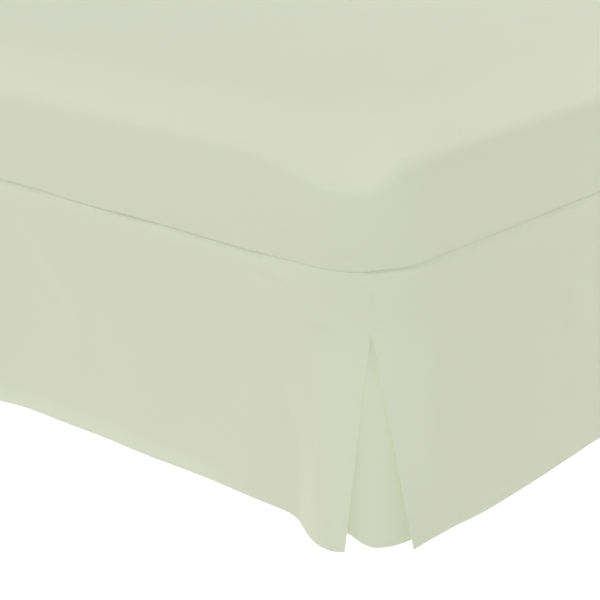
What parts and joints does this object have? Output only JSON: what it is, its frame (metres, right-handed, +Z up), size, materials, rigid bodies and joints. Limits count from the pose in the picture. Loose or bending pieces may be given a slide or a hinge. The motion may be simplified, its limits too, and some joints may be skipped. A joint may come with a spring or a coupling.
{
  "type": "bed skirt and fitted sheet on a bed base with its mattress",
  "caption": "Fitted sheet with a long tailored skirt sewn to its lower edge, with an open pleat at each foot corner, on a mattress and bed base.",
  "frame": {"origin": "on the floor, under the middle of the whole bed", "axes": "+Z up, +Y towards the head of the bed, the foot end faces -Y, +X across the bed"},
  "size_m": [1.6866, 2.1093, 0.5835],
  "materials": {
    "sage_cotton": "smooth plain weave, pale sage",
    "mattress_ticking": "plain off-white ticking",
    "base_upholstery": "plain beige cover",
    "foot_plastic": "black, matte"
  },
  "bodies": {
    "root": {"fitted_sheet": "sage_cotton", "skirt_foot_panel": "sage_cotton", "skirt_right_panel": "sage_cotton", "skirt_left_panel": "sage_cotton", "pleat_insert_right": "sage_cotton", "pleat_insert_left": "sage_cotton", "mattress": "mattress_ticking", "bed_base": "base_upholstery", "base_foot_1": "foot_plastic", "base_foot_2": "foot_plastic", "base_foot_3": "foot_plastic", "base_foot_4": "foot_plastic", "base_foot_5": "foot_plastic", "base_foot_6": "foot_plastic"}
  },
  "joints": []
}
